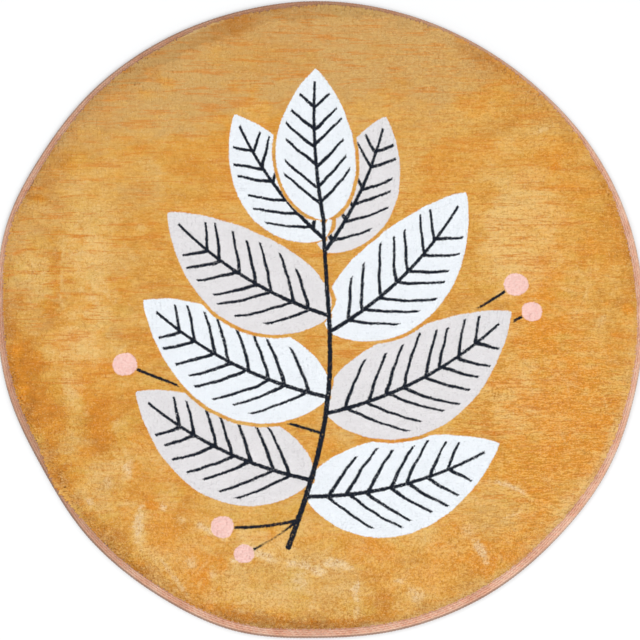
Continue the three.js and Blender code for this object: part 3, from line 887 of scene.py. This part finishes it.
class Nodes:
    """Short names for building a node tree."""

    def __init__(self, name):
        self.mat = bpy.data.materials.new(name)
        self.mat.use_nodes = True
        self.tree = self.mat.node_tree
        self.tree.nodes.clear()

    def new(self, kind, **settings):
        node = self.tree.nodes.new(kind)
        for key, value in settings.items():
            setattr(node, key, value)
        return node

    def put(self, value, socket):
        if isinstance(value, bpy.types.NodeSocket):
            self.tree.links.new(value, socket)
        else:
            socket.default_value = value

    def attr(self, name, vector=False):
        node = self.new("ShaderNodeAttribute", attribute_name=name, attribute_type="GEOMETRY")
        return node.outputs["Vector" if vector else "Fac"]

    def math(self, operation, a, b=0.0, clamp=False):
        node = self.new("ShaderNodeMath", operation=operation, use_clamp=clamp)
        self.put(a, node.inputs[0])
        self.put(b, node.inputs[1])
        return node.outputs[0]

    def ramp(self, value, low, high, to_low=0.0, to_high=1.0, kind="SMOOTHSTEP"):
        node = self.new("ShaderNodeMapRange", interpolation_type=kind, clamp=True)
        for socket, v in zip(node.inputs[:5], (value, low, high, to_low, to_high)):
            self.put(v, socket)
        return node.outputs[0]

    def mix(self, share, a, b, blend="MIX"):
        node = self.new("ShaderNodeMix", data_type="RGBA", blend_type=blend, clamp_factor=True)
        self.put(share, node.inputs[0])
        self.put(a, node.inputs[6])
        self.put(b, node.inputs[7])
        return node.outputs[2]

    def noise(self, vector, scale, detail=3.0, rough=0.5, distortion=0.0):
        node = self.new("ShaderNodeTexNoise", noise_dimensions="3D")
        self.put(vector, node.inputs["Vector"])
        for key, v in (("Scale", scale), ("Detail", detail), ("Roughness", rough), ("Distortion", distortion)):
            node.inputs[key].default_value = v
        return node.outputs["Fac"]

    def stretch(self, vector, x, y, z=1.0):
        node = self.new("ShaderNodeMapping")
        self.put(vector, node.inputs["Vector"])
        node.inputs["Scale"].default_value = (x, y, z)
        return node.outputs[0]


OCHRE = linear(231, 180, 87)
OCHRE_LIGHT = linear(246, 212, 136)
OCHRE_DEEP = linear(203, 134, 46)
OCHRE_HOT = linear(238, 158, 42)
OCHRE_DULL = linear(218, 182, 118)
COMB_DEEP = linear(209, 145, 55)
COMB_LIGHT = linear(250, 210, 124)
FOOT_SHADE = (0.98, 0.86, 0.60, 1.0)
STREAK = linear(224, 142, 50)
OCHRE_GREEN = linear(224, 190, 82)
CREAM = linear(252, 235, 194)
PALE = linear(249, 221, 152)
WHITE = linear(247, 250, 253)
GREY = linear(237, 233, 233)
CORAL = linear(255, 218, 208)
CORAL_DEEP = linear(252, 204, 193)
NAVY = linear(17, 23, 34)
NAVY_WORN = linear(30, 37, 50)


def pile_material():
    n = Nodes("printed_pile")
    spot, tip, rnd, hair = n.attr("spot", True), n.attr("tip"), n.attr("rnd"), n.attr("hair")
    light, hot, row, pale = n.attr("light"), n.attr("hot"), n.attr("row"), n.attr("pale")
    fine = n.noise(n.stretch(spot, 1.0, 1.8, 0.0), 260.0, 3.0, 0.55)
    # ground: mottled ochre with streaks across the rug
    level = n.math("ADD", light, n.math("MULTIPLY", n.math("SUBTRACT", rnd, 0.5), 0.45))
    ground = n.mix(n.ramp(level, 0.0, 1.2, kind="LINEAR"), OCHRE, OCHRE_LIGHT)
    ground = n.mix(n.ramp(level, 0.0, -1.2, kind="LINEAR"), ground, OCHRE_DEEP)
    ground = n.mix(n.ramp(hot, 0.0, 1.2, 0.0, 0.9, "LINEAR"), ground, OCHRE_HOT)
    ground = n.mix(n.ramp(hot, 0.0, -1.2, 0.0, 0.9, "LINEAR"), ground, OCHRE_DULL)
    ground = n.mix(n.ramp(n.attr("green"), 0.1, 1.0, 0.0, 0.45, "LINEAR"), ground, OCHRE_GREEN)
    ground = n.mix(n.math("MULTIPLY", row, 0.50), ground, STREAK)
    flow, even, crisp = n.attr("flow", True), n.attr("even"), n.attr("crisp")
    place = n.new("ShaderNodeTexCoord").outputs["Object"]
    lines = n.attr("lines")

    def thread(across, along, part_x, part_y, low):
        line = n.noise(n.stretch(place, across, along, 0.0), 1.0, 2.0, 0.45, 0.10)
        line = n.ramp(n.math("ABSOLUTE", n.math("SUBTRACT", line, 0.5)), 0.075, 0.015)
        return n.math("MULTIPLY", line, n.ramp(n.noise(n.stretch(place, part_x, part_y, 0.0), 1.0, 3.0, 0.6), low, low + 0.09))

    threads = n.math("MAXIMUM", thread(9.0, 150.0, 13.0, 70.0, 0.50), thread(7.0, 230.0, 17.0, 95.0, 0.53))
    threads = n.math("MULTIPLY", threads, n.math("MULTIPLY", lines, n.ramp(pale, 0.0, 0.5, 0.80, 0.15)))
    ground = n.mix(threads, ground, STREAK)
    # painted sheen: partings, brush marks and the frayed near edge paler where fibres lying another way catch the light
    brushed_sheen = n.mix(n.ramp(pale, 0.25, 0.75), PALE, CREAM)
    ground = n.mix(n.math("MULTIPLY", n.ramp(pale, 0.0, 0.8, 0.0, 0.9, "LINEAR"), n.ramp(rnd, 0.0, 0.9, 0.45, 1.0)), ground, brushed_sheen)
    ground = n.mix(n.math("MULTIPLY", n.math("MULTIPLY", hair, 0.50), n.ramp(tip, 0.3, 1.0)), ground, CREAM)
    comb = n.noise(n.stretch(flow, 150.0, 440.0, 0.0), 1.0, 2.0, 0.6, 0.7)
    curl = n.noise(n.stretch(flow, 270.0, 310.0, 0.0), 1.0, 2.0, 0.65, 0.6)
    comb = n.math("ADD", comb, n.math("MULTIPLY", even, n.math("SUBTRACT", curl, comb)))
    strands = n.noise(n.stretch(flow, 100.0, 560.0, 0.0), 1.0, 2.0, 0.6, 0.5)
    comb = n.math("ADD", comb, n.math("MULTIPLY", n.ramp(n.math("SUBTRACT", crisp, n.math("MULTIPLY", even, 0.6)), 0.95, 1.5, 0.0, 0.7), n.math("SUBTRACT", strands, comb)))
    grain = n.noise(n.stretch(flow, 380.0, 760.0, 0.0), 1.0, 1.0, 0.5)
    specks = n.noise(n.stretch(flow, 700.0, 740.0, 0.0), 1.0, 1.0, 0.5)
    grain = n.math("ADD", grain, n.math("MULTIPLY", even, n.math("SUBTRACT", specks, grain)))
    comb = n.math("ADD", comb, n.math("MULTIPLY", n.math("SUBTRACT", grain, 0.5), 0.55))
    comb = n.math("MULTIPLY", n.math("SUBTRACT", comb, 0.5), crisp)
    ground = n.mix(n.ramp(comb, 0.0, -0.22, 0.0, 0.69, "LINEAR"), ground, COMB_DEEP)
    ground = n.mix(n.ramp(comb, 0.0, 0.24, 0.0, 0.59, "LINEAR"), ground, COMB_LIGHT)
    # painted shade: darker still where the light value falls below -1.2, chiefly along the far edge of the pile
    ground = n.mix(1.0, ground, n.ramp(light, -1.2, -2.4, 1.0, 0.86), "MULTIPLY")
    # painted shade: the foot of the pile and the ground cloth seen between the locks darker and warmer
    ground = n.mix(n.ramp(tip, 0.0, 0.85, 1.0, 0.0, "LINEAR"), ground, n.mix(1.0, ground, FOOT_SHADE, "MULTIPLY"))
    ground = n.mix(1.0, ground, (0.972, 0.900, 0.853, 1.0), "MULTIPLY")
    # print, over the ground, with the ragged edge that pile gives it
    rag = n.math("MULTIPLY", n.math("SUBTRACT", fine, 0.5), 2.0)

    def inked(name, soft=0.7, rough=1.0):
        d = n.math("ADD", n.attr(name), n.math("MULTIPLY", rag, rough))
        return n.ramp(d, soft, -soft)

    soft_shade = n.ramp(tip, 0.0, 1.0, 0.95, 1.0, "LINEAR")
    colour = n.mix(inked("d_white"), ground, n.mix(1.0, WHITE, soft_shade, "MULTIPLY"))
    colour = n.mix(inked("d_grey"), colour, n.mix(1.0, GREY, soft_shade, "MULTIPLY"))
    colour = n.mix(inked("d_coral", 0.9), colour, n.mix(n.ramp(fine, 0.3, 0.7), CORAL, CORAL_DEEP))
    colour = n.mix(n.math("MULTIPLY", inked("d_dark", 0.6, 0.8), n.ramp(rnd, 0.0, 0.10, 0.80, 1.0)), colour,
                   n.mix(n.ramp(fine, 0.35, 0.75), NAVY, NAVY_WORN))
    colour = n.mix(1.0, colour, (0.918, 0.925, 0.936, 1.0), "MULTIPLY")
    # plain knitted back
    knit = n.noise(n.stretch(place, 420.0, 900.0, 0.0), 1.0, 2.0, 0.5)
    back = n.mix(n.ramp(knit, 0.35, 0.65), linear(226, 214, 190), linear(242, 234, 216))
    colour = n.mix(n.attr("under"), colour, back)
    shader = n.new("ShaderNodeBsdfPrincipled")
    n.put(colour, shader.inputs["Base Color"])
    shader.inputs["Roughness"].default_value = 0.92
    shader.inputs["Specular IOR Level"].default_value = 0.20
    shader.inputs["Sheen Weight"].default_value = 0.12
    shader.inputs["Sheen Roughness"].default_value = 0.45
    shader.inputs["Sheen Tint"].default_value = (1.0, 0.96, 0.90, 1.0)
    out = n.new("ShaderNodeOutputMaterial")
    n.tree.links.new(shader.outputs[0], out.inputs["Surface"])
    return n.mat


def yarn_material(name, main, deep, pale):
    n = Nodes(name)
    place = n.new("ShaderNodeTexCoord").outputs["Object"]
    rnd = n.attr("rnd")
    broad = n.noise(place, 38.0, 3.0, 0.55)
    fibre = n.noise(place, 900.0, 3.0, 0.6)
    colour = n.mix(n.ramp(broad, 0.42, 0.68), main, pale)
    colour = n.mix(n.ramp(broad, 0.50, 0.28, 0.0, 0.75), colour, deep)
    colour = n.mix(n.ramp(fibre, 0.52, 0.75, 0.0, 0.45), colour, deep)
    colour = n.mix(1.0, colour, n.ramp(rnd, 0.0, 1.0, 0.88, 1.08, "LINEAR"), "MULTIPLY")
    # painted shade: the strip browner on the sides turned from the light
    colour = n.mix(n.ramp(n.attr("side_shade"), 0.0, 1.0, 0.0, 0.74, "LINEAR"), colour, linear(167, 113, 74))
    # painted shade at the strip's inner edge and under its rim
    colour = n.mix(n.math("MULTIPLY", n.attr("edge"), 0.72), colour, linear(126, 100, 90))
    shader = n.new("ShaderNodeBsdfPrincipled")
    n.put(colour, shader.inputs["Base Color"])
    n.put(n.ramp(fibre, 0.3, 0.7, 0.72, 0.90), shader.inputs["Roughness"])
    bump = n.new("ShaderNodeBump")
    bump.inputs["Strength"].default_value = 0.35
    bump.inputs["Distance"].default_value = 0.0004
    n.put(fibre, bump.inputs["Height"])
    n.put(bump.outputs[0], shader.inputs["Normal"])
    shader.inputs["Specular IOR Level"].default_value = 0.25
    shader.inputs["Sheen Weight"].default_value = 0.20
    shader.inputs["Sheen Roughness"].default_value = 0.5
    out = n.new("ShaderNodeOutputMaterial")
    n.tree.links.new(shader.outputs[0], out.inputs["Surface"])
    return n.mat


# ---------------------------------------------------------------- build
sheet = make_sheet()
bands = make_pile()
strip = make_strip()
loops, seam = make_stitches()

pile_mat = pile_material()
for ob in [sheet, *bands]:
    ob.data.materials.append(pile_mat)
    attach(ob, "root")
tape_mat = yarn_material("binding_tape", linear(226, 172, 140), linear(208, 148, 114), linear(234, 186, 156))
loop_mat = yarn_material("binding_yarn", linear(243, 197, 168), linear(231, 178, 147), linear(248, 213, 188))
seam_mat = yarn_material("binding_thread", linear(211, 132, 101), linear(194, 112, 83), linear(220, 149, 120))
for ob, mat in ((strip, tape_mat), (loops, loop_mat), (seam, seam_mat)):
    ob.data.materials.append(mat)
    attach(ob, "root")
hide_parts("pile_cloth")
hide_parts("edge_binding")

# ---------------------------------------------------------------- floor, light, camera
floor_mesh = bpy.data.meshes.new("floor")
floor_mesh.from_pydata([(-30, -30, -0.0003), (30, -30, -0.0003), (30, 30, -0.0003), (-30, 30, -0.0003)], [], [(0, 1, 2, 3)])
floor = bpy.data.objects.new("floor", floor_mesh)
bpy.context.scene.collection.objects.link(floor)
fn = Nodes("floor_paint")
fs = fn.new("ShaderNodeBsdfPrincipled")
fs.inputs["Base Color"].default_value = (0.85, 0.85, 0.85, 1)
fs.inputs["Roughness"].default_value = 0.9
fo = fn.new("ShaderNodeOutputMaterial")
fn.tree.links.new(fs.outputs[0], fo.inputs["Surface"])
floor_mesh.materials.append(fn.mat)

world = bpy.data.worlds.new("studio")
bpy.context.scene.world = world
world.use_nodes = True
world.node_tree.nodes["Background"].inputs[0].default_value = (0.98, 0.99, 1.0, 1)
world.node_tree.nodes["Background"].inputs[1].default_value = 0.86


def area_light(name, place, size, power, tint=(1, 1, 1)):
    data = bpy.data.lights.new(name, "AREA")
    data.size, data.energy, data.color = size, power, tint
    ob = bpy.data.objects.new(name, data)
    ob.location = place
    ob.rotation_euler = (-Vector(place)).to_track_quat("-Z", "Y").to_euler()
    bpy.context.scene.collection.objects.link(ob)


area_light("key", (1.0, -1.7, 2.3), 2.0, 37.0)
area_light("fill", (-1.9, 1.2, 2.2), 2.2, 17.0)

cam_data = bpy.data.cameras.new("camera")
cam_data.sensor_width = 36.0
cam_data.lens = 85.0
cam = bpy.data.objects.new("camera", cam_data)
cam.location = (0.0, -VIEW_FAR * math.sin(VIEW_TILT) - VIEW_DROP * math.cos(VIEW_TILT),
                VIEW_FAR * math.cos(VIEW_TILT) - VIEW_DROP * math.sin(VIEW_TILT))
cam.rotation_euler = (VIEW_TILT, 0.0, 0.0)
bpy.context.scene.collection.objects.link(cam)
bpy.context.scene.camera = cam
bpy.context.scene.view_settings.view_transform = "Standard"

bpy.context.view_layer.update()
